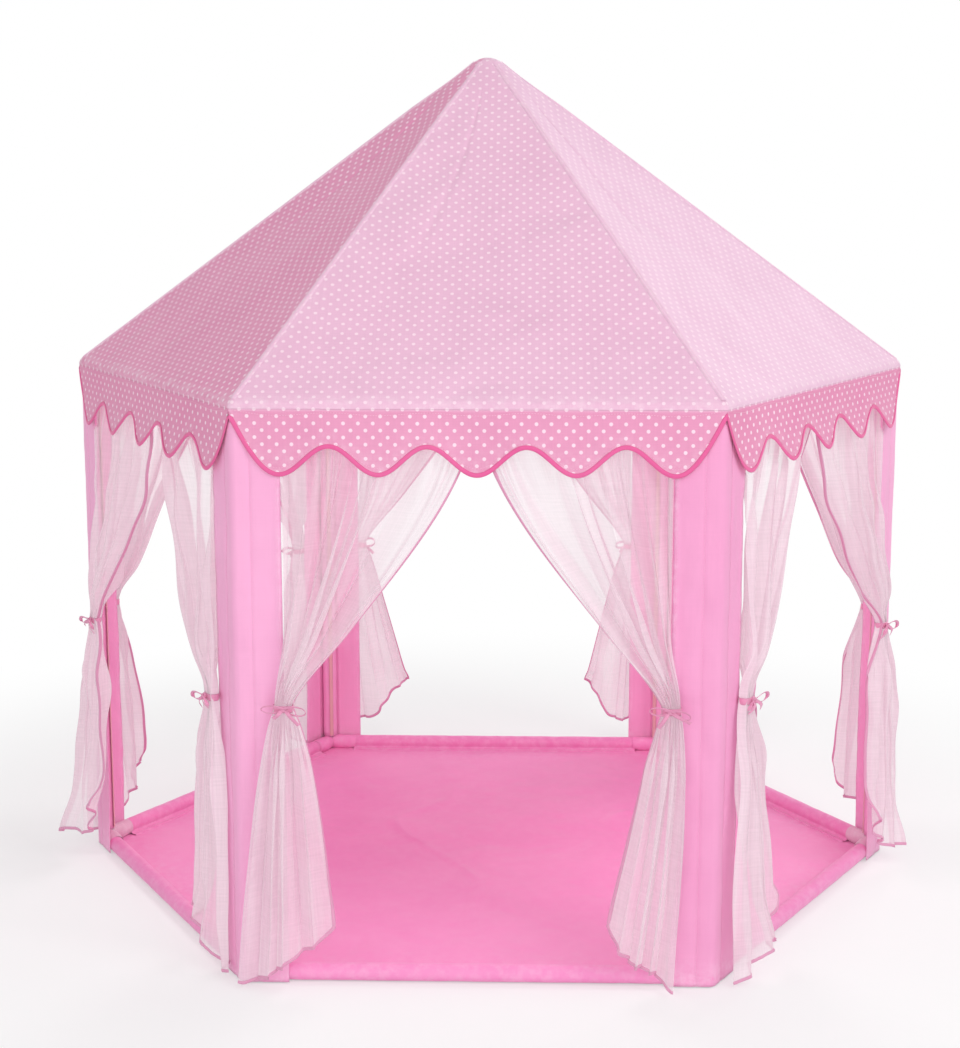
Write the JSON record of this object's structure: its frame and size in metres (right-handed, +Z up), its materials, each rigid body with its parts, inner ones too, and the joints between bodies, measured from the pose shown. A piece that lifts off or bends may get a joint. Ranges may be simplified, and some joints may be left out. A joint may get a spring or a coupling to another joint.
{
  "type": "play tent",
  "caption": "Hexagonal children's play tent: pyramid roof with scalloped valances, tied-back sheer curtains and a floor sheet on a tube frame.",
  "frame": {"origin": "middle of the underside of the floor sheet, on the ground", "axes": "+Z up along the tent's middle; +X through the right-hand corner; the front bay faces -Y"},
  "size_m": [1.4216, 1.253, 1.3749],
  "materials": {
    "roof_cloth": "pink woven polyester with small white polka dots",
    "panel_cloth": "plain pink woven polyester",
    "floor_cloth": "plain pink woven polyester, coated",
    "sheer_cloth": "sheer off-white organza with a pink edge",
    "frame_plastic": "off-white moulded and extruded plastic"
  },
  "bodies": {
    "tent": {"top_hub": "frame_plastic", "rafter_right": "frame_plastic", "rafter_rear_right": "frame_plastic", "rafter_rear_left": "frame_plastic", "rafter_left": "frame_plastic", "rafter_front_left": "frame_plastic", "rafter_front_right": "frame_plastic", "eave_rail_right_rear": "frame_plastic", "eave_rail_rear": "frame_plastic", "eave_rail_left_rear": "frame_plastic", "eave_rail_left_front": "frame_plastic", "eave_rail_front": "frame_plastic", "eave_rail_right_front": "frame_plastic", "post_right": "frame_plastic", "post_rear_right": "frame_plastic", "post_rear_left": "frame_plastic", "post_left": "frame_plastic", "post_front_left": "frame_plastic", "post_front_right": "frame_plastic", "base_rail_right_rear": "frame_plastic", "base_rail_rear": "frame_plastic", "base_rail_left_rear": "frame_plastic", "base_rail_left_front": "frame_plastic", "base_rail_front": "frame_plastic", "base_rail_right_front": "frame_plastic", "roof_canopy": "roof_cloth", "floor_sheet": "floor_cloth", "corner_panel_right": "panel_cloth", "corner_panel_rear_right": "panel_cloth", "corner_panel_rear_left": "panel_cloth", "corner_panel_left": "panel_cloth", "corner_panel_front_left": "panel_cloth", "corner_panel_front_right": "panel_cloth", "curtain_right_rear_left": "sheer_cloth", "curtain_right_rear_right": "sheer_cloth", "curtain_rear_left": "sheer_cloth", "curtain_rear_right": "sheer_cloth", "curtain_left_rear_left": "sheer_cloth", "curtain_left_rear_right": "sheer_cloth", "curtain_left_front_left": "sheer_cloth", "curtain_left_front_right": "sheer_cloth", "curtain_front_left": "sheer_cloth", "curtain_front_right": "sheer_cloth", "curtain_right_front_left": "sheer_cloth", "curtain_right_front_right": "sheer_cloth"},
    "tail_right_rear_left": {"curtain_tail_right_rear_left": "sheer_cloth"},
    "tail_right_rear_right": {"curtain_tail_right_rear_right": "sheer_cloth"},
    "tail_rear_left": {"curtain_tail_rear_left": "sheer_cloth"},
    "tail_rear_right": {"curtain_tail_rear_right": "sheer_cloth"},
    "tail_left_rear_left": {"curtain_tail_left_rear_left": "sheer_cloth"},
    "tail_left_rear_right": {"curtain_tail_left_rear_right": "sheer_cloth"},
    "tail_left_front_left": {"curtain_tail_left_front_left": "sheer_cloth"},
    "tail_left_front_right": {"curtain_tail_left_front_right": "sheer_cloth"},
    "tail_front_left": {"curtain_tail_front_left": "sheer_cloth"},
    "tail_front_right": {"curtain_tail_front_right": "sheer_cloth"},
    "tail_right_front_left": {"curtain_tail_right_front_left": "sheer_cloth"},
    "tail_right_front_right": {"curtain_tail_right_front_right": "sheer_cloth"}
  },
  "joints": [
    {"name": "swing_right_rear_left", "type": "hinge", "parent": "tent", "child": "tail_right_rear_left", "pos_m": [0.66489, 0.0773, 0.415], "axis": [0.5, -0.866, 0], "range_deg": [0, 30]},
    {"name": "swing_right_rear_right", "type": "hinge", "parent": "tent", "child": "tail_right_rear_right", "pos_m": [0.39939, 0.53716, 0.415], "axis": [0.5, -0.866, 0], "range_deg": [0, 30]},
    {"name": "swing_rear_left", "type": "hinge", "parent": "tent", "child": "tail_rear_left", "pos_m": [0.2655, 0.61446, 0.415], "axis": [1, 0, 0], "range_deg": [0, 30]},
    {"name": "swing_rear_right", "type": "hinge", "parent": "tent", "child": "tail_rear_right", "pos_m": [-0.2655, 0.61446, 0.415], "axis": [1, 0, 0], "range_deg": [0, 30]},
    {"name": "swing_left_rear_left", "type": "hinge", "parent": "tent", "child": "tail_left_rear_left", "pos_m": [-0.39939, 0.53716, 0.415], "axis": [0.5, 0.866, 0], "range_deg": [0, 30]},
    {"name": "swing_left_rear_right", "type": "hinge", "parent": "tent", "child": "tail_left_rear_right", "pos_m": [-0.66489, 0.0773, 0.415], "axis": [0.5, 0.866, 0], "range_deg": [0, 30]},
    {"name": "swing_left_front_left", "type": "hinge", "parent": "tent", "child": "tail_left_front_left", "pos_m": [-0.66489, -0.0773, 0.415], "axis": [-0.5, 0.866, 0], "range_deg": [0, 30]},
    {"name": "swing_left_front_right", "type": "hinge", "parent": "tent", "child": "tail_left_front_right", "pos_m": [-0.39939, -0.53716, 0.415], "axis": [-0.5, 0.866, 0], "range_deg": [0, 30]},
    {"name": "swing_front_left", "type": "hinge", "parent": "tent", "child": "tail_front_left", "pos_m": [-0.2655, -0.61446, 0.415], "axis": [-1, 0, 0], "range_deg": [0, 30]},
    {"name": "swing_front_right", "type": "hinge", "parent": "tent", "child": "tail_front_right", "pos_m": [0.2655, -0.61446, 0.415], "axis": [-1, 0, 0], "range_deg": [0, 30]},
    {"name": "swing_right_front_left", "type": "hinge", "parent": "tent", "child": "tail_right_front_left", "pos_m": [0.39939, -0.53716, 0.415], "axis": [-0.5, -0.866, 0], "range_deg": [0, 30]},
    {"name": "swing_right_front_right", "type": "hinge", "parent": "tent", "child": "tail_right_front_right", "pos_m": [0.66489, -0.0773, 0.415], "axis": [-0.5, -0.866, 0], "range_deg": [0, 30]}
  ]
}
